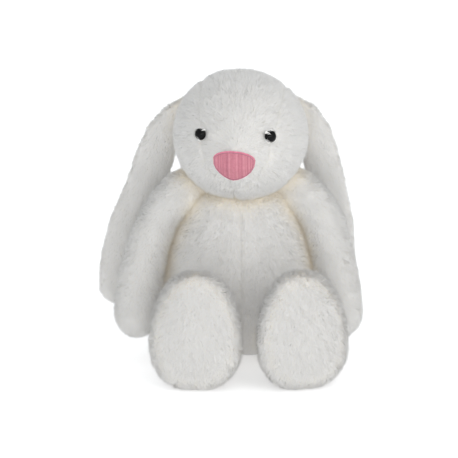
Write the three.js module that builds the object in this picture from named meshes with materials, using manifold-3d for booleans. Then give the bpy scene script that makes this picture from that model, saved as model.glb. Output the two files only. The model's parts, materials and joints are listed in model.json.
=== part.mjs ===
// A seated plush rabbit with long hanging ears, as its sewn panels, stuffing and face pieces.
// Millimetres, +Z up, the face looks along -Y. The seat and both feet rest on z = 0.
import * as THREE from "three";
import { mergeVertices } from "three/addons/utils/BufferGeometryUtils.js";
import Module from "manifold-3d";

const wasm = await Module();
wasm.setup();

// ---- Driving dimensions ----

const SKIN = 2; // backing cloth and the packed root of its pile
const GAP = 0.3; // between pieces that touch
const FAR = 400; // half the side of the blocks that cut panels apart

const HEAD = {
  centre: new THREE.Vector3(-0.5, -12, 154.5),
  half: new THREE.Vector3(44.5, 41, 43),
  power: 2.08, // a little fuller than an ellipsoid
  turn: -5, // degrees, looking to its own right
  tilt: 3.5, // degrees, its left ear lower
};
const SNOUT = { out: 5, drop: 12, spread: 14 };
const GUSSET = { top: 27, brow: 22, browUp: 6, tipDown: 28, tip: 5 };
const EYE = { radius: 4, bulge: 3.4, shank: 1.3, reach: 8 };
const WASHER = { radius: 5, thick: 1.2, setback: SKIN + 1.3 };
const NOSE = { half: 13.9, top: 12, bottom: 8.8, corner: 6, drop: 12.5, pad: 0.8, thread: 0.9 };
const NECK = { centre: new THREE.Vector3(0, -6, 113.5), radius: 14.5 };

const SHOULDER = { apart: 73, back: -10, up: 114 };
const HIP = { apart: 54, back: -23, up: 17 };
const FOOT = { half: new THREE.Vector3(29.5, 14.5, 39), out: 57, taper: 0.16, lean: 7, sole: 7.5 };
const EAR = { apart: 63, back: 12, up: 168, thick: 4.5, sweep: 9, lift: 60, pocket: 17 };
const TAIL = { centre: new THREE.Vector3(0, 49, 25), radius: 14 };
const POUCH = { centre: new THREE.Vector3(0, 15, 8), half: new THREE.Vector3(30, 20, 15), cloth: 1 };

const LEFT = -1; // the viewer's left, which is the rabbit's right side
const RIGHT = 1;
const SIDES = [
  // What differs between the sides: how far the leg splays, how far out the arm hangs, where the eye
  // is set, and the ear's line from its root to its tip as [out, up, half width].
  {
    name: "left",
    sign: LEFT,
    splay: 3,
    reach: 1,
    eye: { out: 23.4, up: 6.6 },
    ear: [
      [0, 0, 8.5],
      [12, -8, 10],
      [20, -19, 11.5],
      [25, -31, 12.5],
      [28.5, -43, 13],
      [32, -55, 13],
      [37, -67, 13],
      [43, -82, 13],
      [48, -98, 13],
      [51.5, -116, 12.5],
      [54, -144, 12],
    ],
  },
  {
    name: "right",
    sign: RIGHT,
    splay: 13,
    reach: 0.9,
    eye: { out: 22, up: 8.8 },
    ear: [
      [0, 0, 8.5],
      [11, -7, 10],
      [17, -18, 11.5],
      [21, -31, 12],
      [23.5, -43, 12.5],
      [26, -55, 12.5],
      [29, -68, 12.5],
      [31.5, -82, 12.5],
      [33, -98, 12.5],
      [34, -116, 12.5],
      [35.5, -136, 12],
    ],
  },
];

// ---- Materials ----

function finish(color, roughness) {
  return new THREE.MeshStandardMaterial({ color, roughness, metalness: 0 });
}

const PLUSH = finish(0xf1f0ec, 0.95);
const SOLE_PLUSH = finish(0xefeeea, 0.95);
const FILL = finish(0xf6f6f3, 1);
const COTTON = finish(0xe8e2d4, 0.9);
const PELLETS = finish(0xdfe3e6, 0.6);
const EYE_PLASTIC = finish(0x060607, 0.12);
const WASHER_PLASTIC = finish(0xdcdcd8, 0.5);
const NOSE_THREAD = finish(0xdf8f9f, 0.6);
const NOSE_FELT = finish(0xcf8090, 0.9);

// ---- Making and cutting solids ----

function solid(geometry, matrix = new THREE.Matrix4()) {
  const bare = geometry.clone().applyMatrix4(matrix);
  for (const name of ["normal", "uv"]) bare.deleteAttribute(name);
  const merged = mergeVertices(bare, 1e-4);
  return new wasm.Manifold(
    new wasm.Mesh({
      numProp: 3,
      vertProperties: merged.attributes.position.array,
      triVerts: new Uint32Array(merged.index.array),
    }),
  );
}

function meshOf(name, form, material) {
  const made = form.getMesh();
  const geometry = new THREE.BufferGeometry();
  geometry.setAttribute("position", new THREE.Float32BufferAttribute(made.vertProperties, 3));
  geometry.setIndex(new THREE.Uint32BufferAttribute(made.triVerts, 1));
  geometry.computeVertexNormals();
  const mesh = new THREE.Mesh(geometry, material);
  mesh.name = name;
  return mesh;
}

// All space on the positive side of a plane that is `from` along `axis`, optionally turned about X.
function beyond(axis, from, turn = 0) {
  const block = new THREE.BoxGeometry(2 * FAR, 2 * FAR, 2 * FAR);
  const place = new THREE.Vector3().copy(axis).multiplyScalar(from + FAR);
  const moved = new THREE.Matrix4().makeTranslation(place.x, place.y, place.z);
  return solid(block, new THREE.Matrix4().makeRotationX(turn).multiply(moved));
}

const X = new THREE.Vector3(1, 0, 0);
const Y = new THREE.Vector3(0, 1, 0);
const Z = new THREE.Vector3(0, 0, 1);

// The two panels that meet at a seam on the plane through the origin of `axis`, a gap apart.
function seam(shell, axis, turn = 0) {
  const away = axis.clone().negate();
  return [
    shell.intersect(beyond(away, GAP / 2, turn)),
    shell.intersect(beyond(axis, GAP / 2, turn)),
  ];
}

function ball(centre, radius, segments = 14) {
  const form = new THREE.SphereGeometry(radius, segments, segments / 2);
  return solid(form, new THREE.Matrix4().makeTranslation(centre.x, centre.y, centre.z));
}

// ---- Stuffed forms ----

// A signed power, which turns a circle's sine and cosine into a superellipse's.
function signedPower(value, power) {
  return Math.sign(value) * Math.abs(value) ** power;
}

// A closed form along stations [x, y, z, half width, half depth], with rounded ends. `level` keeps its
// rings horizontal, and `inset` shrinks it all round by a wall's thickness.
function loft({ stations, level = false, start, end, power = 2, rings, around }, inset = 0) {
  const spine = new THREE.CatmullRomCurve3(stations.map((s) => new THREE.Vector3(...s)));
  const sizes = new THREE.CatmullRomCurve3(stations.map((s) => new THREE.Vector3(s[3], s[4], 0)));
  const long = spine.getLength();
  const capRings = 3;
  const places = [];
  for (let i = 1; i <= capRings; i++) {
    const turn = (i / capRings) * (Math.PI / 2);
    places.push([start - (start - inset) * Math.cos(turn), Math.sin(turn)]);
  }
  for (let i = 1; i < rings; i++) {
    places.push([start + ((long - start - end) * i) / rings, 1]);
  }
  for (let i = capRings; i >= 1; i--) {
    const turn = (i / capRings) * (Math.PI / 2);
    places.push([long - end + (end - inset) * Math.cos(turn), Math.sin(turn)]);
  }

  // A point on the spine; past an end it carries straight on.
  const placeAt = (along) => {
    const u = THREE.MathUtils.clamp(along / long, 0, 1);
    const forward = spine.getTangentAt(u);
    const centre = spine.getPointAt(u).addScaledVector(forward, along - u * long);
    return { centre, forward, size: sizes.getPoint(spine.getUtoTmapping(u)) };
  };

  const points = [];
  for (const [along, share] of places) {
    const { centre, forward, size } = placeAt(along);
    const normal = level ? Z : forward;
    const wide = X.clone().addScaledVector(normal, -normal.x).normalize();
    const deep = normal.clone().cross(wide);
    for (let k = 0; k < around; k++) {
      const angle = (k / around) * 2 * Math.PI;
      const a = (size.x - inset) * share * signedPower(Math.cos(angle), 2 / power);
      const b = (size.y - inset) * share * signedPower(Math.sin(angle), 2 / power);
      points.push(centre.clone().addScaledVector(wide, a).addScaledVector(deep, b));
    }
  }
  const first = points.length;
  points.push(placeAt(inset).centre, placeAt(long - inset).centre);

  const faces = [];
  const ringCount = places.length;
  for (let k = 0; k < around; k++) {
    const next = (k + 1) % around;
    faces.push(first, next, k);
    for (let r = 0; r < ringCount - 1; r++) {
      const a = r * around;
      const b = a + around;
      faces.push(a + k, a + next, b + k, a + next, b + next, b + k);
    }
    const last = (ringCount - 1) * around;
    faces.push(first + 1, last + k, last + next);
  }
  const geometry = new THREE.BufferGeometry().setFromPoints(points);
  geometry.setIndex(faces);
  return geometry;
}

// A superellipsoid with its poles up and down, shrunk by `inset`.
function egg(half, power, inset, segments) {
  const geometry = new THREE.SphereGeometry(1, segments, Math.round(segments * 0.6));
  geometry.rotateX(Math.PI / 2);
  const position = geometry.attributes.position;
  const point = new THREE.Vector3();
  for (let i = 0; i < position.count; i++) {
    point.fromBufferAttribute(position, i);
    const norm = point.toArray().reduce((sum, c) => sum + Math.abs(c) ** power, 0) ** (1 / power);
    point.divideScalar(norm);
    point.set(
      point.x * (half.x - inset),
      point.y * (half.y - inset),
      point.z * (half.z - inset),
    );
    position.setXYZ(i, point.x, point.y, point.z);
  }
  return geometry;
}

// ---- The toy ----

const toy = new THREE.Group();

const bodyForm = {
  stations: [
    [0, 20, -5, 37, 24],
    [0, 12, 12, 47, 31.5],
    [0, 4, 34, 52, 38],
    [0, 0, 58, 51, 38],
    [0, -1, 80, 46, 34.5],
    [0, -2, 99, 38, 29.5],
    [0, -3, 114, 28, 24],
  ],
  level: true,
  start: 14,
  end: 15,
  power: 2.1,
  rings: 7,
  around: 18,
};

function at(point) {
  return new THREE.Matrix4().makeTranslation(point.x, point.y, point.z);
}

// The round roots of the limbs, which sit in dishes in the body with room to turn.
const SOCKET_ROOM = 1;
const SHOULDER_ROOT = 10;
const HIP_ROOT = 9.5;
const THIGH_ROOM = 17.5;

function shoulderAt(side) {
  return new THREE.Vector3((side.sign * SHOULDER.apart) / 2, SHOULDER.back, SHOULDER.up);
}

function hipAt(side) {
  return new THREE.Vector3((side.sign * HIP.apart) / 2, HIP.back, HIP.up);
}

// Where the thigh swells in front of the hip; the belly is hollowed to let it lift.
function thighAt(side) {
  return hipAt(side).add(new THREE.Vector3(0, -13, 3));
}

function bodySockets() {
  let cut = ball(NECK.centre, NECK.radius + SOCKET_ROOM);
  for (const side of SIDES) {
    cut = cut.add(ball(shoulderAt(side), SHOULDER_ROOT + SOCKET_ROOM));
    cut = cut.add(ball(hipAt(side), HIP_ROOT + SOCKET_ROOM)).add(ball(thighAt(side), THIGH_ROOM));
  }
  return cut;
}

function makeBody() {
  const body = new THREE.Group();
  const sockets = bodySockets();
  const aboveFloor = beyond(Z, 0);
  const shell = solid(loft(bodyForm))
    .subtract(solid(loft(bodyForm, SKIN)))
    .intersect(aboveFloor)
    .subtract(sockets);
  const [front, back] = seam(shell, Y);
  const [frontLeft, frontRight] = seam(front, X);
  const [backLeft, backRight] = seam(back, X);
  body.add(meshOf("body_front_left_panel", frontLeft, PLUSH));
  body.add(meshOf("body_front_right_panel", frontRight, PLUSH));
  body.add(meshOf("body_back_left_panel", backLeft, PLUSH));
  body.add(meshOf("body_back_right_panel", backRight, PLUSH));

  const inside = solid(loft(bodyForm, SKIN + GAP));
  const seat = inside.intersect(aboveFloor).subtract(beyond(Z, SKIN));
  body.add(meshOf("seat_panel", seat, PLUSH));

  const aboveSeat = beyond(Z, SKIN + GAP);
  const pouchForm = (inset) => solid(egg(POUCH.half, 2, inset, 14), at(POUCH.centre));
  const fillingHole = new THREE.CylinderGeometry(3, 3, 2 * POUCH.half.z, 12).rotateX(Math.PI / 2);
  const pouch = pouchForm(0)
    .intersect(aboveSeat)
    .subtract(pouchForm(POUCH.cloth).intersect(beyond(Z, SKIN + GAP + POUCH.cloth)))
    .subtract(solid(fillingHole, at(POUCH.centre.clone().addScaledVector(Z, 2 * POUCH.half.z - 6))));
  body.add(meshOf("pellet_pouch", pouch, COTTON));
  const pellets = pouchForm(POUCH.cloth + GAP).intersect(beyond(Z, SKIN + 2 * GAP + POUCH.cloth));
  body.add(meshOf("pellet_fill", pellets, PELLETS));

  const fill = inside.intersect(aboveSeat).subtract(pouchForm(-GAP)).subtract(sockets);
  body.add(meshOf("body_stuffing", fill, FILL));
  body.add(...makeTail());
  return body;
}

function makeTail() {
  const body = solid(loft(bodyForm, -GAP));
  const shell = ball(TAIL.centre, TAIL.radius)
    .subtract(ball(TAIL.centre, TAIL.radius - SKIN))
    .subtract(body);
  const fill = ball(TAIL.centre, TAIL.radius - SKIN - GAP).subtract(body);
  return [meshOf("tail_cover", shell, PLUSH), meshOf("tail_stuffing", fill, FILL)];
}

function makeNeck() {
  return meshOf("neck_stuffing", ball(NECK.centre, NECK.radius), FILL);
}

// The head's surface in its own frame. The snout is a soft bump round the nose.
function headForm(inset) {
  const geometry = egg(HEAD.half, HEAD.power, inset, 20);
  const position = geometry.attributes.position;
  for (let i = 0; i < position.count; i++) {
    const x = position.getX(i);
    const y = position.getY(i);
    const z = position.getZ(i);
    position.setY(i, y + Math.min(y, 0) * snoutAt(x, z));
  }
  return geometry;
}

// How much farther forward the snout carries the face at (x, z), as a share.
function snoutAt(x, z) {
  const away = x * x + (z + SNOUT.drop) ** 2;
  return (SNOUT.out / HEAD.half.y) * Math.exp(-away / (2 * SNOUT.spread ** 2));
}

// Where the face is at (x, z), and the direction that it looks there.
function facePoint(x, z) {
  const rest =
    1 - (Math.abs(x) / HEAD.half.x) ** HEAD.power - (Math.abs(z) / HEAD.half.z) ** HEAD.power;
  const depth = HEAD.half.y * rest ** (1 / HEAD.power);
  return new THREE.Vector3(x, -depth * (1 + snoutAt(x, z)), z);
}

function faceNormal(x, z) {
  const step = 0.5;
  const alongX = facePoint(x + step, z).sub(facePoint(x - step, z));
  const alongZ = facePoint(x, z + step).sub(facePoint(x, z - step));
  return alongX.cross(alongZ).normalize();
}

function noseOutline(grow) {
  const half = NOSE.half + grow;
  const top = NOSE.top + grow;
  const low = -NOSE.bottom - grow;
  const outline = new THREE.Shape();
  outline.moveTo(-half, NOSE.corner);
  outline.bezierCurveTo(-half * 0.95, top * 0.8, -half * 0.4, top, 0, top);
  outline.bezierCurveTo(half * 0.4, top, half * 0.95, top * 0.8, half, NOSE.corner);
  outline.bezierCurveTo(half * 1.04, low * 0.35, half * 0.36, low, 0, low);
  outline.bezierCurveTo(-half * 0.36, low, -half * 1.04, low * 0.35, -half, NOSE.corner);
  return outline;
}

// A layer of the nose that follows the face, from `low` to `low + thick` above it.
function noseLayer(grow, low, thick) {
  const prism = new THREE.ExtrudeGeometry(noseOutline(grow), {
    depth: HEAD.half.y * 2,
    bevelEnabled: false,
    curveSegments: 6,
  });
  prism.rotateX(Math.PI / 2).translate(0, 0, -NOSE.drop);
  return solid(headForm(-low - thick)).subtract(solid(headForm(-low))).intersect(solid(prism));
}

// The centre panel's outline seen from the front: wide over the crown, narrowing to the nose.
function gussetPrism(grow) {
  const outline = new THREE.Shape();
  const top = HEAD.half.z + 10;
  outline.moveTo(-GUSSET.top - grow, top);
  outline.quadraticCurveTo(-GUSSET.top - grow, 24, -GUSSET.brow - grow, GUSSET.browUp);
  outline.quadraticCurveTo(-GUSSET.brow - grow, -14, -GUSSET.tip - grow, -GUSSET.tipDown - grow);
  outline.lineTo(GUSSET.tip + grow, -GUSSET.tipDown - grow);
  outline.quadraticCurveTo(GUSSET.brow + grow, -14, GUSSET.brow + grow, GUSSET.browUp);
  outline.quadraticCurveTo(GUSSET.top + grow, 24, GUSSET.top + grow, top);
  const prism = new THREE.ExtrudeGeometry(outline, {
    depth: 4 * HEAD.half.y,
    bevelEnabled: false,
    curveSegments: 5,
  });
  return solid(prism.rotateX(Math.PI / 2).translate(0, 2 * HEAD.half.y, 0));
}

const EYE_PROFILE = [
  [0, -EYE.reach],
  [EYE.shank, -EYE.reach],
  [EYE.shank, GAP],
  [EYE.radius, GAP],
  ...[0.25, 0.5, 0.75].map((t) => [
    EYE.radius * Math.cos((t * Math.PI) / 2),
    GAP + EYE.bulge * Math.sin((t * Math.PI) / 2),
  ]),
  [0, GAP + EYE.bulge],
];
const WASHER_PROFILE = [
  [EYE.shank + GAP, 0],
  [WASHER.radius, 0],
  [WASHER.radius, WASHER.thick],
  [EYE.shank + GAP, WASHER.thick],
  [EYE.shank + GAP, 0],
];

function turned(profile, segments) {
  const points = profile.map(([radius, height]) => new THREE.Vector2(radius, height));
  return new THREE.LatheGeometry(points, segments).rotateX(Math.PI / 2);
}

// The matrix that stands a piece made along +Z on the face at one eye.
function eyePlace(side) {
  const x = side.sign * side.eye.out;
  const out = faceNormal(x, side.eye.up);
  const turn = new THREE.Quaternion().setFromUnitVectors(Z, out);
  return new THREE.Matrix4().compose(facePoint(x, side.eye.up), turn, new THREE.Vector3(1, 1, 1));
}

function rod(radius, from, to, place) {
  const form = new THREE.CylinderGeometry(radius, radius, to - from, 14).rotateX(Math.PI / 2);
  return solid(form.translate(0, 0, (from + to) / 2), place);
}

function makeHead(head) {
  head.updateMatrixWorld(true);
  const toHead = head.matrix.clone().invert();
  const neckDish = solid(
    new THREE.SphereGeometry(NECK.radius + SOCKET_ROOM, 16, 8),
    toHead.clone().multiply(at(NECK.centre)),
  );
  let holes = neckDish;
  let pockets = neckDish;
  for (const side of SIDES) {
    const shank = rod(EYE.shank + GAP, -2 * EYE.reach, EYE.reach, eyePlace(side));
    holes = holes.add(earSlit(side, toHead)).add(shank);
    const pocket = rod(WASHER.radius + GAP, -EYE.reach - 0.6, EYE.reach, eyePlace(side));
    pockets = pockets.add(earPocket(side, toHead)).add(pocket);
  }
  const shell = solid(headForm(0)).subtract(solid(headForm(SKIN))).subtract(holes);
  head.add(meshOf("head_centre_panel", shell.intersect(gussetPrism(-GAP / 2)), PLUSH));
  const [left, right] = seam(shell.subtract(gussetPrism(GAP / 2)), X);
  head.add(meshOf("head_left_panel", left, PLUSH));
  head.add(meshOf("head_right_panel", right, PLUSH));
  const fill = solid(headForm(SKIN + GAP)).subtract(pockets);
  head.add(meshOf("head_stuffing", fill, FILL));

  for (const side of SIDES) {
    const socket = new THREE.Group();
    socket.applyMatrix4(eyePlace(side));
    const eye = new THREE.Mesh(turned(EYE_PROFILE, 14), EYE_PLASTIC);
    eye.name = `eye_${side.name}`;
    const washer = new THREE.Mesh(turned(WASHER_PROFILE, 12), WASHER_PLASTIC);
    washer.name = `eye_washer_${side.name}`;
    washer.position.z = -WASHER.setback - WASHER.thick;
    socket.add(eye, washer);
    head.add(socket);
  }
  head.add(meshOf("nose_padding", noseLayer(-1, GAP, NOSE.pad), NOSE_FELT));
  const threadLow = 2 * GAP + NOSE.pad;
  head.add(meshOf("nose_embroidery", noseLayer(0, threadLow, NOSE.thread), NOSE_THREAD));
}

function earPlace(side) {
  const root = new THREE.Vector3((side.sign * EAR.apart) / 2, EAR.back, EAR.up);
  const sweep = new THREE.Matrix4().makeRotationX(THREE.MathUtils.degToRad(EAR.sweep));
  return at(root).multiply(sweep);
}

// An ear in its own flat frame, X out and Z up, with its root at the origin.
function earForm(side) {
  const line = side.ear.map(([out, up, wide]) => [side.sign * out, 0, up, wide, EAR.thick]);
  const [, second] = line;
  const back = new THREE.Vector3(-second[0], 0, -second[2]).setLength(8.5);
  line.unshift([back.x, 0, back.z, 8.5, EAR.thick]);
  return { stations: line, start: 8.5, end: 12, rings: 10, around: 8 };
}

// The room an ear needs in the head, from hanging to lifted right out.
function earSlit(side, toHead) {
  const ear = loft(earForm(side), -GAP - 0.2);
  const turns = 2;
  let slit = null;
  for (let i = 0; i <= turns; i++) {
    const lift = (-side.sign * THREE.MathUtils.degToRad(EAR.lift) * i) / turns;
    const place = toHead.clone().multiply(earPlace(side));
    const lifted = solid(ear, place.multiply(new THREE.Matrix4().makeRotationY(lift)));
    slit = slit ? slit.add(lifted) : lifted;
  }
  return slit;
}

// The flat pocket in the stuffing that an ear's root sits and turns in.
function earPocket(side, toHead) {
  const deep = 2 * (EAR.thick + GAP + 0.2);
  const disc = new THREE.CylinderGeometry(EAR.pocket, EAR.pocket, deep, 20);
  return solid(disc, toHead.clone().multiply(earPlace(side)));
}

function makeEar(side) {
  const ear = new THREE.Group();
  ear.applyMatrix4(earPlace(side));
  const [front, back] = seam(solid(loft(earForm(side))), Y);
  ear.add(meshOf(`ear_${side.name}_front_panel`, front, PLUSH));
  ear.add(meshOf(`ear_${side.name}_back_panel`, back, PLUSH));
  return ear;
}

const ARM_LINE = [
  // out, back, up, half width, half depth, from the shoulder to the paw
  [-7.8, 0.6, 5.8, 9.5, 9.5],
  [0, 0, 0, 10, 10],
  [12, -2, -9, 11.3, 10.6],
  [20.5, -3, -22, 12.3, 11.4],
  [26, -5.5, -37, 12.8, 11.8],
  [30, -8.5, -54, 13.3, 12],
  [32.5, -11, -70, 13.8, 12.5],
  [33.5, -13, -82, 13.3, 12.5],
  [33.5, -14, -94, 12.5, 12],
];
const ARM_LEAN = Math.atan(15 / 100); // the paw lies this far forward of the shoulder

function makeArm(side) {
  const arm = new THREE.Group();
  arm.position.copy(shoulderAt(side));
  const stations = ARM_LINE.map(([out, ...rest]) => [side.sign * side.reach * out, ...rest]);
  const form = { stations, start: 9.7, end: 13, rings: 7, around: 10 };
  const shell = solid(loft(form)).subtract(solid(loft(form, SKIN)));
  const [front, back] = seam(shell, Y, -ARM_LEAN);
  arm.add(meshOf(`arm_${side.name}_front_panel`, front, PLUSH));
  arm.add(meshOf(`arm_${side.name}_back_panel`, back, PLUSH));
  arm.add(meshOf(`arm_${side.name}_stuffing`, solid(loft(form, SKIN + GAP)), FILL));
  return arm;
}

const LEG_LINE = [
  // x, y, z, half width, half depth, from the hip to inside the foot
  [0, 9, -1, 9, 9],
  [0, 0, 0, 9.5, 9.5],
  [0, -12, 0, 12, 12],
  [0, -26, 2, 16, 15.5],
  [0, -42, 7, 18, 18],
  [0, -56, 12, 18, 20],
];

function footForm(inset) {
  const geometry = egg(FOOT.half, 2.25, inset, 15);
  const position = geometry.attributes.position;
  for (let i = 0; i < position.count; i++) {
    const narrow = 1 - (FOOT.taper * position.getZ(i)) / FOOT.half.z;
    position.setX(i, position.getX(i) * narrow);
  }
  return geometry;
}

function makeLeg(side) {
  const leg = new THREE.Group();
  leg.position.copy(hipAt(side));
  leg.rotation.z = side.sign * THREE.MathUtils.degToRad(side.splay);
  const line = { stations: LEG_LINE, start: 9.2, end: 8, rings: 4, around: 12 };
  const ankle = new THREE.Vector3(0, -FOOT.out, FOOT.half.z - HIP.up);
  const lean = new THREE.Matrix4().makeRotationX(-THREE.MathUtils.degToRad(FOOT.lean));
  const footAt = at(ankle).multiply(lean);
  const form = (inset) => solid(loft(line, inset)).add(solid(footForm(inset), footAt));
  const shell = form(0).subtract(form(SKIN));
  const soleBlock = (from) => {
    const block = new THREE.BoxGeometry(FAR, FAR, FAR).translate(0, -FAR / 2 - from, 0);
    return solid(block, footAt);
  };
  const sole = shell.intersect(soleBlock(FOOT.sole + GAP / 2));
  const [left, right] = seam(shell.subtract(soleBlock(FOOT.sole - GAP / 2)), X);
  const [inner, outer] = side.sign === LEFT ? [right, left] : [left, right];
  leg.add(meshOf(`leg_${side.name}_inner_panel`, inner, PLUSH));
  leg.add(meshOf(`leg_${side.name}_outer_panel`, outer, PLUSH));
  leg.add(meshOf(`foot_${side.name}_sole_panel`, sole, SOLE_PLUSH));
  leg.add(meshOf(`leg_${side.name}_stuffing`, form(SKIN + GAP), FILL));
  return leg;
}

toy.add(makeBody(), makeNeck());

const head = new THREE.Group();
head.position.copy(HEAD.centre);
head.rotation.set(
  0,
  THREE.MathUtils.degToRad(HEAD.tilt),
  THREE.MathUtils.degToRad(HEAD.turn),
);
makeHead(head);
toy.add(head);

for (const side of SIDES) toy.add(makeArm(side), makeLeg(side), makeEar(side));

// The toy stands on z = 0, with the middle of its outline over the origin.
toy.updateMatrixWorld(true);
const bounds = new THREE.Box3().setFromObject(toy, true);
const middle = bounds.getCenter(new THREE.Vector3());
toy.position.set(-middle.x, -middle.y, -bounds.min.z);

export default toy;
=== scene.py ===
"""A seated white plush rabbit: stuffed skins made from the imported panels, with a sewn-in short pile."""

import json
import math

import bmesh
import bpy
import numpy as np
from mathutils import Matrix, Vector
from mathutils.bvhtree import BVHTree


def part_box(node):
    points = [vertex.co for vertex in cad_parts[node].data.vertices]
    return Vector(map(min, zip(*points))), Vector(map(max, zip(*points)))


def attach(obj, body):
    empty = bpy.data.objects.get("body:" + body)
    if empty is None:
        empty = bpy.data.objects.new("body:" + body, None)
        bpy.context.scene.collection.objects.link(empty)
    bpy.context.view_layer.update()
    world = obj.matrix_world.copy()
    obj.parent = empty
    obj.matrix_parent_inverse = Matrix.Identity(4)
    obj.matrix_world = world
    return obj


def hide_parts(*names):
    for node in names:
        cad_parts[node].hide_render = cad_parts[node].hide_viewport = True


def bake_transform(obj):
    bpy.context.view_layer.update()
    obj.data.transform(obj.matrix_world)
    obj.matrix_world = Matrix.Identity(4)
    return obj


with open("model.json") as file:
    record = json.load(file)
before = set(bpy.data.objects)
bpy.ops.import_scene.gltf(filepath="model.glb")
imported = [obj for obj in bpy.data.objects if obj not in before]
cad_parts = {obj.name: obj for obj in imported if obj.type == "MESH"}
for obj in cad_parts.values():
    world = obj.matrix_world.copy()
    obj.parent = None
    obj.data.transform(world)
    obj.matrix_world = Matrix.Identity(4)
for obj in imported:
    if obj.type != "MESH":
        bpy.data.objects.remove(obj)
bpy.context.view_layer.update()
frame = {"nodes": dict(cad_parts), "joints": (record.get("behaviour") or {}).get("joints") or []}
SCENE = bpy.context.scene
MM = 0.001

# ---- Looks ----

WHITE = (0.96, 0.92, 0.85)
PILE_TONES = {
    "pile_white": (0.975, 0.965, 0.945),
    "pile_cool": (0.93, 0.93, 0.925),
    "pile_warm": (0.97, 0.94, 0.885),
    "pile_rose": (0.93, 0.66, 0.69),
    "pile_cream": (0.985, 0.94, 0.84),
}
TONE_SHARES = (0.5, 0.28, 0.22)  # of white, cool and warm hairs
ROSE_TONE = 3  # the place in PILE_TONES of the pink hairs next to the nose
PAINTED_BOUNCE_TONE = 4  # and of the cream hairs where two parts press together: painted warm bounce light in the creases
# How far from a touching part the painted bounce light reaches, and how much its cream hairs glow.
PAINTED_BOUNCE_REACH = 8 * MM
PAINTED_BOUNCE_GLOW = 0.15
PILE_GLOW = 0.05

PILE_DENSITY = 14  # hairs in a square millimetre
PILE_LONG = 4.3 * MM
PILE_WIDE = 0.34 * MM
PILE_LEAN = 42  # degrees from upright
PILE_LEAN_SPREAD = 12
LEAN_LEAST = 8
LEAN_MOST = 76
LOCK_SIZE = 5 * MM  # neighbouring hairs lean together in locks about this wide
STRAY_SHARE = 0.08
STRAY_LONGER = 1.4
NOSE_CLEAR = 1.6 * MM  # no hair is rooted this close to the nose
NOSE_TINT = 0.55 * MM  # how far past that the pink hairs reach, on average
FACES_A_PIECE = 195_000

SMOOTH_ROUNDS = 40
LOWEST_SKIN = 0.6 * MM  # above the floor
LOWEST_HAIR = 0.25 * MM

WORLD_LIGHT = 0.86
KEY_POWER = 7
FLASH_POWER = 14
TOP_POWER = 1.5
BACK_POWER = 7
FLOOR_GLOW = 0.38  # the floor shines a little itself, so that it stays white and shadows stay soft


def rng(seed):
    return np.random.default_rng(seed)


# ---- Materials ----


def node_material(name):
    material = bpy.data.materials.new(name)
    material.use_nodes = True
    tree = material.node_tree
    tree.nodes.clear()
    out = tree.nodes.new("ShaderNodeOutputMaterial")
    shader = tree.nodes.new("ShaderNodeBsdfPrincipled")
    tree.links.new(shader.outputs["BSDF"], out.inputs["Surface"])
    return material, tree, shader


def object_coordinates(tree, scale):
    place = tree.nodes.new("ShaderNodeTexCoord")
    mapping = tree.nodes.new("ShaderNodeMapping")
    mapping.inputs["Scale"].default_value = (scale, scale, scale)
    tree.links.new(place.outputs["Object"], mapping.inputs["Vector"])
    return mapping.outputs["Vector"]


def noise(tree, vector, scale, detail=3.0, rough=0.55):
    node = tree.nodes.new("ShaderNodeTexNoise")
    node.inputs["Scale"].default_value = scale
    node.inputs["Detail"].default_value = detail
    node.inputs["Roughness"].default_value = rough
    tree.links.new(vector, node.inputs["Vector"])
    return node.outputs["Fac"]


def ramp(tree, fac, stops):
    node = tree.nodes.new("ShaderNodeValToRGB")
    elements = node.color_ramp.elements
    while len(elements) < len(stops):
        elements.new(0.5)
    for element, (at, colour) in zip(elements, stops):
        element.position = at
        element.color = (*colour, 1)
    tree.links.new(fac, node.inputs["Fac"])
    return node.outputs["Color"]


def bump(tree, shader, height, strength, distance):
    node = tree.nodes.new("ShaderNodeBump")
    node.inputs["Strength"].default_value = strength
    node.inputs["Distance"].default_value = distance
    tree.links.new(height, node.inputs["Height"])
    tree.links.new(node.outputs["Normal"], shader.inputs["Normal"])


def plush_material(name):
    """Knitted backing and the roots of its pile: fine mottling and a nap of fine bumps."""
    material, tree, shader = node_material(name)
    vector = object_coordinates(tree, 1000)
    mottle = noise(tree, vector, 0.09, 4)
    dark = tuple(c * f for c, f in zip(WHITE, (0.93, 0.92, 0.90)))
    tree.links.new(ramp(tree, mottle, [(0.3, dark), (0.7, WHITE)]), shader.inputs["Base Color"])
    fine = noise(tree, vector, 1.6, 2)
    bump(tree, shader, fine, 0.6, 0.5 * MM)
    shader.inputs["Roughness"].default_value = 1.0
    shader.inputs["Sheen Weight"].default_value = 0.35
    shader.inputs["Sheen Roughness"].default_value = 0.5
    shader.inputs["Specular IOR Level"].default_value = 0.1
    return material


def pile_material(name, colour):
    """Hairs of one tone. A little of the light that real pile passes from hair to hair is painted in as
    glow, warmer and stronger on the cream hairs that paint bounce light into the creases.
    """
    material, tree, shader = node_material(name)
    painted_bounce = name == "pile_cream"
    shader.inputs["Emission Color"].default_value = (1, 0.84, 0.60, 1) if painted_bounce else (1, 0.98, 0.95, 1)
    shader.inputs["Emission Strength"].default_value = PAINTED_BOUNCE_GLOW if painted_bounce else PILE_GLOW
    shader.inputs["Base Color"].default_value = (*colour, 1)
    shader.inputs["Roughness"].default_value = 0.9
    shader.inputs["Sheen Weight"].default_value = 0.3
    shader.inputs["Sheen Roughness"].default_value = 0.5
    shader.inputs["Specular IOR Level"].default_value = 0.15
    return material


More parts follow.
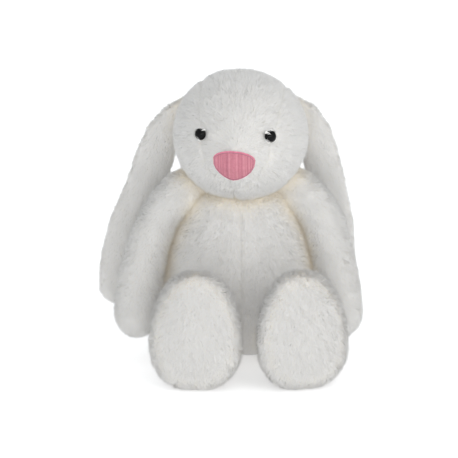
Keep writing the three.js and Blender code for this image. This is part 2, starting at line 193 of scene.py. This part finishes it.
def thread_material(name, pale, dark, scale):
    """Rayon embroidery thread, with the shine and twist of its ply."""
    material, tree, shader = node_material(name)
    vector = object_coordinates(tree, 1000)
    tone = noise(tree, vector, scale, 3)
    tree.links.new(ramp(tree, tone, [(0.3, dark), (0.7, pale)]), shader.inputs["Base Color"])
    ply = tree.nodes.new("ShaderNodeTexWave")
    ply.wave_type = "BANDS"
    ply.bands_direction = "DIAGONAL"
    ply.inputs["Scale"].default_value = 1.6
    ply.inputs["Distortion"].default_value = 1.5
    tree.links.new(vector, ply.inputs["Vector"])
    bump(tree, shader, ply.outputs["Fac"], 0.35, 0.15 * MM)
    shader.inputs["Roughness"].default_value = 0.48
    shader.inputs["Sheen Weight"].default_value = 0.4
    shader.inputs["Sheen Roughness"].default_value = 0.35
    return material


def plastic_material(name, colour, roughness, gloss=0.5):
    """Moulded plastic with faint wear and flow marks."""
    material, tree, shader = node_material(name)
    vector = object_coordinates(tree, 1000)
    marks = noise(tree, vector, 0.8, 5)
    deep = tuple(c * 0.8 for c in colour)
    tree.links.new(ramp(tree, marks, [(0.35, deep), (0.65, colour)]), shader.inputs["Base Color"])
    bump(tree, shader, marks, 0.04, 0.05 * MM)
    shader.inputs["Roughness"].default_value = roughness
    shader.inputs["Specular IOR Level"].default_value = gloss
    return material


def fibre_material(name, colour):
    """Matted polyester fibre or felt."""
    material, tree, shader = node_material(name)
    vector = object_coordinates(tree, 1000)
    strands = noise(tree, vector, 0.7, 6, 0.7)
    deep = tuple(c * 0.85 for c in colour)
    tree.links.new(ramp(tree, strands, [(0.35, deep), (0.65, colour)]), shader.inputs["Base Color"])
    bump(tree, shader, strands, 0.8, 0.8 * MM)
    shader.inputs["Roughness"].default_value = 1.0
    return material


PLUSH = plush_material("plush_backing")
PILE = [pile_material(name, colour) for name, colour in PILE_TONES.items()]

# ---- Camera, floor and light ----

VIEW_DROP = math.radians(15)
VIEW_FAR = 2.6
VIEW_WIDE = 0.3105  # metres across the picture at the toy
AIM = Vector((0.0002, 0.0376, 0.0804))


def make_camera():
    data = bpy.data.cameras.new("camera")
    data.sensor_width = 36
    data.lens = data.sensor_width * VIEW_FAR / VIEW_WIDE
    camera = bpy.data.objects.new("camera", data)
    SCENE.collection.objects.link(camera)
    away = Vector((0, -math.cos(VIEW_DROP), math.sin(VIEW_DROP)))
    camera.location = AIM + away * VIEW_FAR
    camera.rotation_euler = (math.radians(90) - VIEW_DROP, 0, 0)
    data.clip_end = 20
    SCENE.camera = camera


def area_light(name, place, aim, size, power, colour=(1, 1, 1)):
    data = bpy.data.lights.new(name, "AREA")
    data.shape = "DISK"
    data.size = size
    data.energy = power
    data.color = colour
    light = bpy.data.objects.new(name, data)
    SCENE.collection.objects.link(light)
    light.location = place
    light.rotation_euler = (Vector(aim) - Vector(place)).to_track_quat("-Z", "Y").to_euler()


def make_stage():
    mesh = bpy.data.meshes.new("floor")
    half = 4.0
    corners = [(-half, -half, 0), (half, -half, 0), (half, half, 0), (-half, half, 0)]
    mesh.from_pydata(corners, [], [(0, 1, 2, 3)])
    floor = bpy.data.objects.new("floor", mesh)
    SCENE.collection.objects.link(floor)
    material, tree, shader = node_material("paper_floor")
    vector = object_coordinates(tree, 1)
    tone = noise(tree, vector, 60, 2)
    white = ramp(tree, tone, [(0.3, (0.895, 0.895, 0.895)), (0.7, (0.905, 0.905, 0.905))])
    tree.links.new(white, shader.inputs["Base Color"])
    shader.inputs["Roughness"].default_value = 0.9
    shader.inputs["Specular IOR Level"].default_value = 0.1
    shader.inputs["Emission Color"].default_value = (1, 1, 1, 1)
    shader.inputs["Emission Strength"].default_value = FLOOR_GLOW
    mesh.materials.append(material)

    SCENE.view_settings.view_transform = "Standard"
    world = bpy.data.worlds.new("studio")
    SCENE.world = world
    world.use_nodes = True
    background = world.node_tree.nodes["Background"]
    background.inputs["Color"].default_value = (0.955, 0.98, 1, 1)
    background.inputs["Strength"].default_value = WORLD_LIGHT
    middle = (0, 0, 0.1)
    area_light("key", (1.1, -1.5, 0.9), middle, 1.0, KEY_POWER, (1, 0.98, 0.95))
    area_light("flash", (0, -2.45, 0.75), middle, 0.3, FLASH_POWER)
    area_light("top", (0.1, -0.7, 2.0), middle, 1.2, TOP_POWER)
    area_light("back", (0.3, 1.9, 1.1), middle, 1.4, BACK_POWER)


make_camera()
make_stage()

# ---- Meshes ----


def arrays(mesh):
    count = len(mesh.vertices)
    points = np.empty(count * 3)
    mesh.vertices.foreach_get("co", points)
    mesh.calc_loop_triangles()
    faces = np.empty(len(mesh.loop_triangles) * 3, np.int32)
    mesh.loop_triangles.foreach_get("vertices", faces)
    return points.reshape(-1, 3), faces.reshape(-1, 3)


def set_points(mesh, points):
    mesh.vertices.foreach_set("co", np.ascontiguousarray(points).ravel())
    mesh.update()


def normals_of(mesh):
    values = np.empty(len(mesh.vertices) * 3)
    mesh.vertices.foreach_get("normal", values)
    return values.reshape(-1, 3)


def link_new(name, mesh):
    piece = bpy.data.objects.new(name, mesh)
    SCENE.collection.objects.link(piece)
    return piece


def apply_all(piece):
    bpy.context.view_layer.update()
    depsgraph = bpy.context.evaluated_depsgraph_get()
    mesh = bpy.data.meshes.new_from_object(piece.evaluated_get(depsgraph))
    piece.modifiers.clear()
    old = piece.data
    piece.data = mesh
    bpy.data.meshes.remove(old)
    return mesh


def joined(name, nodes, balls=()):
    """One mesh holding copies of the named CAD solids, and any soft balls to be fused with them."""
    made = bmesh.new()
    for node in nodes:
        made.from_mesh(frame["nodes"][node].data)
    for centre, half in balls:
        ball = Matrix.Translation(centre) @ Matrix.Diagonal((*half, 1))
        bmesh.ops.create_icosphere(made, subdivisions=3, radius=1, matrix=ball)
    mesh = bpy.data.meshes.new(name)
    made.to_mesh(mesh)
    made.free()
    return link_new(name, mesh)


def neighbours(mesh):
    edges = np.empty(len(mesh.edges) * 2, np.int64)
    mesh.edges.foreach_get("vertices", edges)
    return edges.reshape(-1, 2)


def smoothed(values, edges, rounds, share=0.5):
    """Averages any per-vertex values with their neighbours'."""
    values = values.copy()
    flat = values.ndim == 1
    if flat:
        values = values[:, None]
    here = np.concatenate([edges[:, 0], edges[:, 1]])
    there = np.concatenate([edges[:, 1], edges[:, 0]])
    size = len(values)
    count = np.maximum(np.bincount(here, minlength=size), 1)
    for _ in range(rounds):
        for k in range(values.shape[1]):
            total = np.bincount(here, weights=values[there, k], minlength=size)
            values[:, k] += share * (total / count - values[:, k])
    return values[:, 0] if flat else values


def evened(points, edges, rounds):
    """Smoothing that doesn't shrink: each pass in is followed by a pass out."""
    for _ in range(rounds):
        points = smoothed(points, edges, 1, 0.5)
        points = smoothed(points, edges, 1, -0.53)
    return points


def seam_closeness(points, panels, reach):
    """1 on a line where two of the panels meet, falling to 0 over `reach`."""
    if len(panels) < 2:
        return np.zeros(len(points))
    trees = []
    for node in panels:
        verts, faces = arrays(frame["nodes"][node].data)
        trees.append(BVHTree.FromPolygons(verts.tolist(), faces.tolist()))
    gaps = np.array([[tree.find_nearest(Vector(p))[3] for tree in trees] for p in points])
    gaps.sort(axis=1)
    return np.exp(-(((gaps[:, 1] - gaps[:, 0]) / reach) ** 2))


def lumps(points, seed, size, height):
    """Gentle swells, the same on every run: a few sine waves in random directions."""
    draw = rng(seed)
    total = np.zeros(len(points))
    waves = 7
    for _ in range(waves):
        direction = draw.normal(size=3)
        direction /= np.linalg.norm(direction)
        turns = 2 * math.pi / (size * draw.uniform(0.7, 1.4))
        total += np.sin(points @ direction * turns + draw.uniform(0, 2 * math.pi))
    return height * total / math.sqrt(waves)


def puffed(piece, seam, cap):
    """How far air pressure lifts each vertex off the middle lift, its seams held: a cloth simulation.
    """
    mesh = piece.data
    start, _ = arrays(mesh)
    normals = normals_of(mesh).copy()
    group = piece.vertex_groups.new(name="seams")
    for i, weight in enumerate(np.clip(seam, 0, 1)):
        group.add([i], float(weight), "REPLACE")
    cloth = piece.modifiers.new("cloth", "CLOTH")
    settings = cloth.settings
    settings.quality = 5
    settings.mass = 0.2
    settings.tension_stiffness = 8
    settings.compression_stiffness = 8
    settings.bending_stiffness = 1
    settings.use_pressure = True
    settings.uniform_pressure_force = 4
    settings.effector_weights.gravity = 0
    settings.vertex_group_mass = "seams"
    settings.pin_stiffness = 1
    cloth.point_cache.frame_start = 1
    cloth.point_cache.frame_end = 20
    for number in range(1, 21):
        SCENE.frame_set(number)
    end, _ = arrays(apply_all(piece))
    SCENE.frame_set(1)
    piece.vertex_groups.clear()
    lift = ((end - start) * normals).sum(1)
    return np.clip(lift - np.median(lift), -cap, cap)


SKIN_LOOK = {
    "deep": 0.0,  # how far the backing lies under the CAD surface
    "groove": 0.8 * MM,  # how far the seams sink
    "puff": 0.7 * MM,  # the most that the cloth swells between them
    "rounds": SMOOTH_ROUNDS,
    "fill": 0.7,  # how tightly it is stuffed; not used
    "balls": (),  # soft balls to fuse in, as centre and half sizes
    "dents": (),  # places pressed in, as centre, reach and depth
}


def make_skin(name, body, panels, insides, voxel, seed, **looks):
    """A stuffed skin: panels and filling fused, puffed between the seams and grooved along them."""
    look = {**SKIN_LOOK, **looks}
    piece = joined(name, panels + insides, look["balls"])
    remesh = piece.modifiers.new("remesh", "REMESH")
    remesh.mode = "VOXEL"
    remesh.voxel_size = voxel
    mesh = apply_all(piece)
    edges = neighbours(mesh)
    points, _ = arrays(mesh)
    points = evened(points, edges, look["rounds"])
    set_points(mesh, points)
    seam = seam_closeness(points, panels, 2.0 * MM)
    relief = smoothed(puffed(piece, seam, look["puff"]), edges, 2)
    mesh = piece.data
    set_points(mesh, points)
    points = points + normals_of(mesh) * (relief - look["deep"])[:, None]
    set_points(mesh, points)

    smooth = piece.modifiers.new("smooth", "SUBSURF")
    smooth.levels = smooth.render_levels = 1
    mesh = apply_all(piece)
    points, _ = arrays(mesh)
    edges = neighbours(mesh)
    points = evened(points, edges, 3)
    set_points(mesh, points)
    seam = smoothed(seam_closeness(points, panels, 1.3 * MM), edges, 1)
    shift = lumps(points, seed, 26 * MM, 0.25 * MM) - look["groove"] * seam
    for centre, reach, depth in look["dents"]:
        shift -= depth * np.exp(-((np.linalg.norm(points - np.array(centre), axis=1) / reach) ** 2))
    points = points + normals_of(mesh) * shift[:, None]
    points[:, 2] = np.maximum(points[:, 2], LOWEST_SKIN)
    set_points(mesh, points)
    mesh.materials.clear()
    mesh.materials.append(PLUSH)
    mesh.polygons.foreach_set("material_index", np.zeros(len(mesh.polygons), np.int32))
    mesh.shade_smooth()
    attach(piece, body)
    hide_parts(*panels, *insides)
    remember(piece)
    return piece, seam


# ---- Pile ----


def unit(v):
    return v / np.maximum(np.linalg.norm(v, axis=-1, keepdims=True), 1e-12)


def riding(body):
    return lambda piece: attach(piece, body)


skins = {}
piles_to_make = []


def plan_pile(skin, seam, place, nap, seed, **more):
    """Note a pile to be made once every skin is there, so that it knows what lies close to it."""
    piles_to_make.append((skin, seam, place, nap, seed, more))


def remember(skin):
    points, faces = arrays(skin.data)
    skins[skin.name] = BVHTree.FromPolygons(points.tolist(), faces.tolist())


def closeness(skin, beside):
    """At each point of a skin, 1 where it touches another part of the toy and 0 well away from it."""
    points, _ = arrays(skin.data)
    far = 30 * MM
    gap = np.full(len(points), far)
    for name, tree in skins.items():
        if name == skin.name or (beside and name not in beside):
            continue
        found = [tree.find_nearest(Vector(p), far)[3] for p in points]
        gap = np.minimum(gap, [far if g is None else g for g in found])
    return np.exp(-((gap / PAINTED_BOUNCE_REACH) ** 2))


def make_pile(skin, seam, place, nap, seed, bare=(), length=PILE_LONG, around=None, beside=None):
    """Short soft hairs over a skin, as separate tapered blades that lean along the nap."""
    draw = rng(seed)
    mesh = skin.data
    points, faces = arrays(mesh)
    normals = normals_of(mesh)
    a, b, c = (points[faces[:, i]] for i in range(3))
    area = np.linalg.norm(np.cross(b - a, c - a), axis=1) / 2
    count = int(area.sum() / MM**2 * PILE_DENSITY)
    chosen = draw.choice(len(faces), size=count, p=area / area.sum())
    u, v = draw.random(count), draw.random(count)
    swap = u + v > 1
    u[swap], v[swap] = 1 - u[swap], 1 - v[swap]
    weights = np.stack([1 - u - v, u, v], 1)[:, :, None]
    corners = faces[chosen]
    root = (points[corners] * weights).sum(1)
    out = unit((normals[corners] * weights).sum(1))
    crease = (seam[corners][:, :, None] * weights).sum(1)[:, 0]
    painted_bounce_share = (closeness(skin, beside)[corners][:, :, None] * weights).sum(1)[:, 0]

    keep = np.ones(count, bool)
    for centre, radius in bare:
        keep &= np.linalg.norm(root - np.array(centre), axis=1) > radius
    tint = np.zeros(count, bool)
    if around is not None:
        gap = np.array([around.find_nearest(Vector(p))[3] for p in root])
        keep &= gap > NOSE_CLEAR
        tint = gap < NOSE_CLEAR + draw.exponential(NOSE_TINT, count)
    root, out, crease, painted_bounce_share, tint = (values[keep] for values in (root, out, crease, painted_bounce_share, tint))
    count = len(root)

    flow = nap(root)
    flow = flow - out * (flow * out).sum(1, keepdims=True)
    lock = np.stack([lumps(root, seed + 11 + i, LOCK_SIZE, 0.12) for i in range(3)], 1)
    flow = unit(unit(flow) + lock + draw.normal(scale=0.45, size=(count, 3)))
    flow = unit(flow - out * (flow * out).sum(1, keepdims=True))
    lean = draw.normal(PILE_LEAN, PILE_LEAN_SPREAD, count) + 6 * lumps(root, seed + 31, LOCK_SIZE, 0.6)
    lean = np.radians(lean)
    lean = np.clip(lean, math.radians(LEAN_LEAST), math.radians(LEAN_MOST))[:, None]
    long = length * draw.uniform(0.7, 1.08, count) * (1 - 0.35 * crease)
    stray = draw.random(count) < STRAY_SHARE
    long[stray] *= STRAY_LONGER
    long[tint] *= 0.6
    long = long[:, None]
    reach = out * np.cos(lean) + flow * np.sin(lean)
    side = unit(np.cross(reach, out) + draw.normal(scale=0.3, size=(count, 3)))
    half = PILE_WIDE / 2 * draw.uniform(0.7, 1.2, count)[:, None]
    half[stray] *= 0.7
    low = root - out * 0.2 * MM
    verts = np.stack([low - side * half, low + side * half, low + reach * long], 1)
    verts[:, :, 2] = np.maximum(verts[:, :, 2], LOWEST_HAIR)
    tone = draw.choice(3, size=count, p=TONE_SHARES)
    # Painted warm bounce light: most hairs where parts press together are cream and glow warm, and a few
    # along the seams.
    tone[draw.random(count) < 0.9 * np.maximum(painted_bounce_share, 0.1 * crease)] = PAINTED_BOUNCE_TONE
    tone[tint] = ROSE_TONE
    shade = unit(out + draw.normal(scale=0.2, size=(count, 3)) + 0.35 * flow)

    order = draw.permutation(count)
    groups = math.ceil(count / FACES_A_PIECE)
    for number, part in enumerate(np.array_split(order, groups)):
        name = f"{skin.name.replace('_skin', '')}_pile_{number + 1}"
        piece = pile_piece(name, verts[part], shade[part], tone[part])
        place(piece)


def pile_piece(name, verts, shade, tone):
    count = len(verts)
    mesh = bpy.data.meshes.new(name)
    mesh.vertices.add(count * 3)
    mesh.vertices.foreach_set("co", verts.ravel())
    mesh.loops.add(count * 3)
    mesh.loops.foreach_set("vertex_index", np.arange(count * 3, dtype=np.int32))
    mesh.polygons.add(count)
    mesh.polygons.foreach_set("loop_start", np.arange(count, dtype=np.int32) * 3)
    for material in PILE:
        mesh.materials.append(material)
    mesh.polygons.foreach_set("material_index", tone.astype(np.int32))
    mesh.update(calc_edges=True)
    mesh.shade_smooth()
    mesh.normals_split_custom_set_from_vertices(np.repeat(shade, 3, axis=0))
    return link_new(name, mesh)


def nap_towards(direction):
    way = np.array(direction, float)
    return lambda roots: np.tile(way, (len(roots), 1))


def nap_away_from(centre, drop):
    """Combed back from a point and down."""
    middle = np.array(centre, float)
    return lambda roots: unit(roots - middle) + np.array([0, 0, -drop])


# ---- The toy's soft pieces ----

SIDES = ("left", "right")
joint_at = {j["name"]: Vector(j["pos_m"]) for j in frame["joints"]}


def centre_of(node):
    low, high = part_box(node)
    return (low + high) / 2


nose = centre_of("nose_embroidery")
EYE_CLEAR = 3.3 * MM


def eye_axis(side):
    """An eye's middle at its widest ring, the way its dome looks, and its radius and height there."""
    points, _ = arrays(frame["nodes"][f"eye_{side}"].data)
    middle = points.mean(0)
    _, _, axes = np.linalg.svd(points - middle)
    spread = [np.ptp((points - middle) @ axis) for axis in axes]
    axis = axes[int(np.argmax(spread))]
    if (middle - np.array(centre_of("head_stuffing"))) @ axis < 0:
        axis = -axis
    along = (points - middle) @ axis
    away = np.linalg.norm(points - middle - along[:, None] * axis, axis=1)
    ring = points[away > 0.9 * away.max()]
    centre = ring.mean(0)
    radius = np.linalg.norm(ring - centre, axis=1).max()
    top = ((points - centre) @ axis).max()
    return centre, axis, radius, top


eyes = {side: eye_axis(side)[0] for side in SIDES}

HEAD_PANELS = ["head_centre_panel", "head_left_panel", "head_right_panel"]
eye_dents = [(eyes[side], 5.5 * MM, 1.3 * MM) for side in SIDES]
head, head_seam = make_skin(
    "head_skin",
    "head",
    HEAD_PANELS,
    ["head_stuffing"],
    2.2 * MM,
    1,
    deep=2.1 * MM,
    dents=eye_dents,
)
bare = [(eyes[side], EYE_CLEAR) for side in SIDES]
nose_points, nose_faces = arrays(frame["nodes"]["nose_embroidery"].data)
nose_layer = BVHTree.FromPolygons(nose_points.tolist(), nose_faces.tolist())
plan_pile(head, head_seam, riding("head"), nap_away_from(nose, 0.5), 101, bare=bare, around=nose_layer)

BODY_PANELS = [f"body_{end}_{side}_panel" for end in ("front", "back") for side in SIDES]
neck = joint_at["head_turn"]
chest = neck + Vector((0, 3.5, -12)) * MM
body, body_seam = make_skin(
    "body_skin",
    "body",
    BODY_PANELS + ["seat_panel"],
    ["body_stuffing"],
    2.4 * MM,
    2,
    deep=-0.4 * MM,
    balls=[(chest, (38 * MM, 27 * MM, 19 * MM))],
)
plan_pile(body, body_seam, riding("body"), nap_towards((0, 0, -1)), 102)

tail, tail_seam = make_skin(
    "tail_skin", "body", ["tail_cover"], ["tail_stuffing"], 2.0 * MM, 3, fill=0.6
)
plan_pile(tail, tail_seam, riding("body"), nap_towards((0, 0.6, -1)), 103, length=PILE_LONG * 1.25)

for number, side in enumerate(SIDES):
    sign = -1 if side == "left" else 1
    arm, arm_seam = make_skin(
        f"arm_{side}_skin",
        f"arm_{side}",
        [f"arm_{side}_front_panel", f"arm_{side}_back_panel"],
        [f"arm_{side}_stuffing"],
        2.0 * MM,
        10 + number,
        deep=0.1 * MM,
    )
    plan_pile(arm, arm_seam, riding(f"arm_{side}"), nap_towards((0.2 * sign, -0.1, -1)), 110 + number)

    leg, leg_seam = make_skin(
        f"leg_{side}_skin",
        f"leg_{side}",
        [f"leg_{side}_inner_panel", f"leg_{side}_outer_panel", f"foot_{side}_sole_panel"],
        [f"leg_{side}_stuffing"],
        2.2 * MM,
        20 + number,
        groove=0.12 * MM,
        puff=0.3 * MM,
        deep=1.0 * MM,
        rounds=90,
    )
    plan_pile(leg, leg_seam, riding(f"leg_{side}"), nap_towards((0, -0.35, -1)), 120 + number)

    ear, ear_seam = make_skin(
        f"ear_{side}_skin",
        f"ear_{side}",
        [f"ear_{side}_front_panel", f"ear_{side}_back_panel"],
        [],
        1.8 * MM,
        30 + number,
        deep=0.1 * MM,
        groove=0.4 * MM,
        puff=0.4 * MM,
        fill=0.35,
    )
    plan_pile(ear, ear_seam, riding(f"ear_{side}"), nap_towards((0.25 * sign, 0, -1)), 130 + number)

# ---- Gathers: the plush that is drawn together where the limbs and the head are sewn on ----


def make_gather(name, balls, seed, nap, place):
    """A run of overlapping balls, fused and smoothed to one soft form, and its pile."""
    piece = joined(f"{name}_skin", [], balls)
    remesh = piece.modifiers.new("remesh", "REMESH")
    remesh.mode = "VOXEL"
    remesh.voxel_size = 2 * MM
    mesh = apply_all(piece)
    points, _ = arrays(mesh)
    points = evened(points, neighbours(mesh), SMOOTH_ROUNDS)
    set_points(mesh, points)
    swell = lumps(points, seed, 14 * MM, 0.3 * MM)
    set_points(mesh, points + normals_of(mesh) * swell[:, None])
    mesh.materials.clear()
    mesh.materials.append(PLUSH)
    mesh.polygons.foreach_set("material_index", np.zeros(len(mesh.polygons), np.int32))
    mesh.shade_smooth()
    place(piece)
    # This pile gets its painted warm bounce light only where it lies close to the head.
    plan_pile(piece, np.zeros(len(points)), place, nap, seed + 200, beside=("head_skin",))
    return piece


# From behind the cheek to the upper arm: out, back, up and radius, in mm from the shoulder joint.
SHOULDER_LINE = [
    (-8, 6, 6.5, 10),
    (2, 2, 2.5, 11),
    (10, -1, -4.5, 11),
    (17, -3, -14, 11),
    (21, -3, -23, 11),
]


def shoulder_balls(middle, sign):
    steps = 4
    balls = []
    for one, two in zip(SHOULDER_LINE, SHOULDER_LINE[1:]):
        for i in range(steps):
            out, back, up, radius = (a + (b - a) * i / steps for a, b in zip(one, two))
            centre = middle + Vector((out * sign, back, up)) * MM
            balls.append((centre, (radius * MM,) * 3))
    return balls


for number, side in enumerate(SIDES):
    sign = -1 if side == "left" else 1
    shoulder = joint_at[f"arm_{side}_lift"]
    inner = shoulder + Vector((-12 * sign, 0, 0)) * MM
    outer = shoulder + Vector((10 * sign, 0, -6)) * MM
    make_gather(
        f"shoulder_{side}",
        shoulder_balls(shoulder, sign),
        50 + number,
        nap_towards((0.6 * sign, -0.1, -1)),
        lambda part, to=f"arm_{side}", a=inner, b=outer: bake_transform(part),
    )

gather = make_gather(
    "neck",
    [(neck, (18 * MM, 16 * MM, 10 * MM))],
    60,
    nap_towards((0, -0.2, -1)),
    lambda part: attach(part, "neck"),
)
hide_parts("neck_stuffing")

for planned in piles_to_make:
    make_pile(*planned[:-1], **planned[-1])

# ---- The face ----


def face_frame(node):
    """The middle of a face piece and the way that the face looks there."""
    middle = centre_of(node)
    centre = centre_of("head_stuffing")
    return middle, (middle - centre).normalized()


def make_eye(side):
    """A domed safety eye, from its CAD node's place and size."""
    node = f"eye_{side}"
    middle, axis, radius, top = eye_axis(side)
    dome = 3.4 * MM
    made = bmesh.new()
    around, rings = 40, 10
    profile = [(0.35 * radius, top - dome - 1.2 * MM), (0.9 * radius, top - dome - 0.5 * MM)]
    for i in range(rings):
        turn = i / rings * math.pi / 2
        profile.append((radius * math.cos(turn), top - dome + dome * math.sin(turn)))
    turn_to = Vector(axis).to_track_quat("Z", "Y")
    loops = []
    for r, h in profile:
        loop = []
        for k in range(around):
            angle = 2 * math.pi * k / around
            local = turn_to @ Vector((r * math.cos(angle), r * math.sin(angle), h))
            loop.append(made.verts.new(Vector(middle) + local))
        loops.append(loop)
    for one, two in zip(loops, loops[1:]):
        for k in range(around):
            n = (k + 1) % around
            made.faces.new((one[k], one[n], two[n], two[k]))
    peak = made.verts.new(Vector(middle) + turn_to @ Vector((0, 0, top)))
    base = made.verts.new(Vector(middle) + turn_to @ Vector((0, 0, profile[0][1])))
    for k in range(around):
        n = (k + 1) % around
        made.faces.new((loops[-1][k], loops[-1][n], peak))
        made.faces.new((loops[0][n], loops[0][k], base))
    mesh = bpy.data.meshes.new(f"eye_{side}_dome")
    made.to_mesh(mesh)
    made.free()
    mesh.materials.append(EYE_PLASTIC)
    mesh.shade_smooth()
    piece = link_new(f"eye_{side}_dome", mesh)
    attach(piece, "head")
    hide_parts(node)


EYE_PLASTIC = plastic_material("eye_black", (0.003, 0.003, 0.003), 0.1, gloss=0.12)
for side in SIDES:
    make_eye(side)

# Where the pile falls over each eye: direction round the eye from its right in degrees, half spread,
# how far it reaches over the dome in mm, and how many hairs.
TUFTS = {
    "left": [(180, 45, 1.2, 70), (268, 8, 2.4, 14), (90, 50, 0.5, 40)],
    "right": [(135, 14, 2.4, 24), (225, 24, 0.7, 16), (75, 40, 0.5, 40)],
}


def make_tufts(side, seed):
    """Hairs rooted round an eye that lie over its dome, as the pile does when an eye is pulled in."""
    draw = rng(seed)
    centre, axis, radius, _ = eye_axis(side)
    right = unit(np.cross([0, 0, 1], axis))
    up = np.cross(axis, right)
    verts, shade = [], []
    for middle, spread, cover, count in TUFTS[side]:
        angle = np.radians(middle + draw.uniform(-spread, spread, count))
        ray = np.cos(angle)[:, None] * right + np.sin(angle)[:, None] * up
        root = centre + ray * (radius + draw.uniform(0.1, 0.9, count)[:, None] * MM)
        root = root - axis * 0.6 * MM
        over = cover * draw.uniform(0.5, 1.05, count)[:, None] * MM
        height = draw.uniform(2.6, 3.9, count)[:, None] * MM
        tip = centre + ray * (radius - over) + axis * height
        edge = np.cross(unit(tip - root), ray)
        edge = unit(edge + draw.normal(scale=0.5, size=(count, 3)))
        half = PILE_WIDE * 0.42 * edge
        verts.append(np.stack([root - half, root + half, tip], 1))
        shade.append(unit(0.55 * axis + ray + draw.normal(scale=0.2, size=(count, 3))))
    verts, shade = np.concatenate(verts), np.concatenate(shade)
    tone = draw.choice(3, size=len(verts), p=TONE_SHARES)
    piece = pile_piece(f"eye_{side}_tuft", verts, shade, tone)
    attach(piece, "head")


for number, side in enumerate(SIDES):
    make_tufts(side, 70 + number)

ROSES = [
    thread_material("rose_thread", (0.565, 0.21, 0.265), (0.50, 0.17, 0.22), 0.5),
    thread_material("rose_thread_deep", (0.50, 0.17, 0.225), (0.445, 0.14, 0.195), 0.5),
    # The pale thread paints light onto the nose's right side.
    thread_material("rose_thread_painted_lit", (0.62, 0.26, 0.31), (0.555, 0.215, 0.26), 0.5),
]
ROSE_EDGE = thread_material("rose_edge_thread", (0.40, 0.17, 0.22), (0.30, 0.12, 0.17), 0.5)


def tube(made, path, radius, around=6):
    """A closed thin tube along a list of points, tapering in at its ends."""
    rings = []
    for i, point in enumerate(path):
        forward = (path[min(i + 1, len(path) - 1)] - path[max(i - 1, 0)]).normalized()
        wide = forward.orthogonal().normalized()
        deep = forward.cross(wide)
        share = 0.6 if i in (0, len(path) - 1) else 1
        ring = []
        for k in range(around):
            angle = 2 * math.pi * k / around
            offset = wide * math.cos(angle) + deep * math.sin(angle)
            ring.append(made.verts.new(point + offset * radius * share))
        rings.append(ring)
    for one, two in zip(rings, rings[1:]):
        for k in range(around):
            n = (k + 1) % around
            made.faces.new((one[k], one[n], two[n], two[k]))
    made.faces.new(rings[0][::-1])
    made.faces.new(rings[-1])


def make_nose():
    """Satin stitches side by side over the padding, inside a darker outline."""
    layer = frame["nodes"]["nose_embroidery"].data
    verts, faces = arrays(layer)
    surface = BVHTree.FromPolygons(verts.tolist(), faces.tolist())
    middle, out = face_frame("nose_embroidery")
    across = Vector((0, 0, 1)).cross(out).normalized()
    up = out.cross(across)
    local = np.array([[(Vector(v) - middle).dot(across), (Vector(v) - middle).dot(up)] for v in verts])
    half = np.abs(local[:, 0]).max()

    def on_top(a, b, above=0.0):
        start = middle + across * a + up * b + out * 20 * MM
        hit = surface.ray_cast(start, -out, 40 * MM)
        return hit[0] + out * above if hit[0] is not None else None

    def ends(a):
        """The stretch of the nose's height that is on the layer at `a` across."""
        found = [b * 0.25 * MM for b in range(-60, 61) if on_top(a, b * 0.25 * MM) is not None]
        return (min(found), max(found)) if found else None

    made = bmesh.new()
    draw = rng(7)
    pitch = 0.56 * MM
    lines = int(half / pitch)
    for i in range(-lines, lines + 1):
        a = i * pitch
        span = ends(a)
        if span is None or span[1] - span[0] < 1.2 * MM:
            continue
        low, high = span[0] + 0.3 * MM, span[1] - 0.3 * MM
        slant = draw.normal(scale=0.12) * MM
        path = []
        steps = 14
        for s in range(steps + 1):
            share = s / steps
            b = low + (high - low) * share
            spot = on_top(a + slant * (share - 0.5), b)
            if spot is None:
                continue
            swell = 0.45 * MM * math.sin(math.pi * share) ** 0.5 + draw.normal(scale=0.03) * MM
            path.append(spot + out * (swell - 0.25 * MM))
        if len(path) > 2:
            before = len(made.faces)
            tube(made, path, 0.32 * MM)
            made.faces.ensure_lookup_table()
            # Painted light: more of the stitches on the right are pale, so the nose's right side is painted
            # lighter.
            pale = 0.15 + 0.25 * max(0, a / half)
            tone = draw.choice(3, p=(0.8 - pale, 0.2, pale))
            for face in made.faces[before:]:
                face.material_index = int(tone)
    mesh = bpy.data.meshes.new("nose_stitches")
    made.to_mesh(mesh)
    made.free()
    for rose in ROSES:
        mesh.materials.append(rose)
    mesh.shade_smooth()
    stitches = link_new("nose_stitches", mesh)
    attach(stitches, "head")

    # The outline: short back stitches end to end round the rim.
    rim = []
    turns = 96
    for i in range(turns):
        angle = 2 * math.pi * i / turns
        reach = 0.0
        for step in range(1, 140):
            r = step * 0.12 * MM
            if on_top(r * math.cos(angle), r * math.sin(angle)) is None:
                break
            reach = r
        inside = reach - 0.9 * MM
        spot = on_top(inside * math.cos(angle), inside * math.sin(angle))
        rim.append(spot + out * 0.3 * MM)
    made = bmesh.new()
    stitch = 6
    for i in range(0, turns, stitch):
        path = [rim[(i + k) % turns] for k in range(stitch + 1)]
        tube(made, path, 0.24 * MM)
    mesh = bpy.data.meshes.new("nose_outline")
    made.to_mesh(mesh)
    made.free()
    mesh.materials.append(ROSE_EDGE)
    mesh.shade_smooth()
    outline = link_new("nose_outline", mesh)
    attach(outline, "head")


make_nose()

# ---- CAD nodes that stay ----

KEPT = {
    "nose_embroidery": thread_material("rose_ground", (0.70, 0.22, 0.31), (0.58, 0.16, 0.24), 0.5),
    "nose_padding": fibre_material("rose_felt", (0.60, 0.20, 0.28)),
    "pellet_pouch": fibre_material("pouch_cotton", (0.80, 0.76, 0.66)),
    "pellet_fill": plastic_material("pellets", (0.72, 0.75, 0.78), 0.5),
    "eye_washer_left": plastic_material("washer", (0.8, 0.8, 0.78), 0.5),
}
KEPT["eye_washer_right"] = KEPT["eye_washer_left"]
for node, material in KEPT.items():
    mesh_object = frame["nodes"][node]
    mesh_object.data.materials.clear()
    mesh_object.data.materials.append(material)
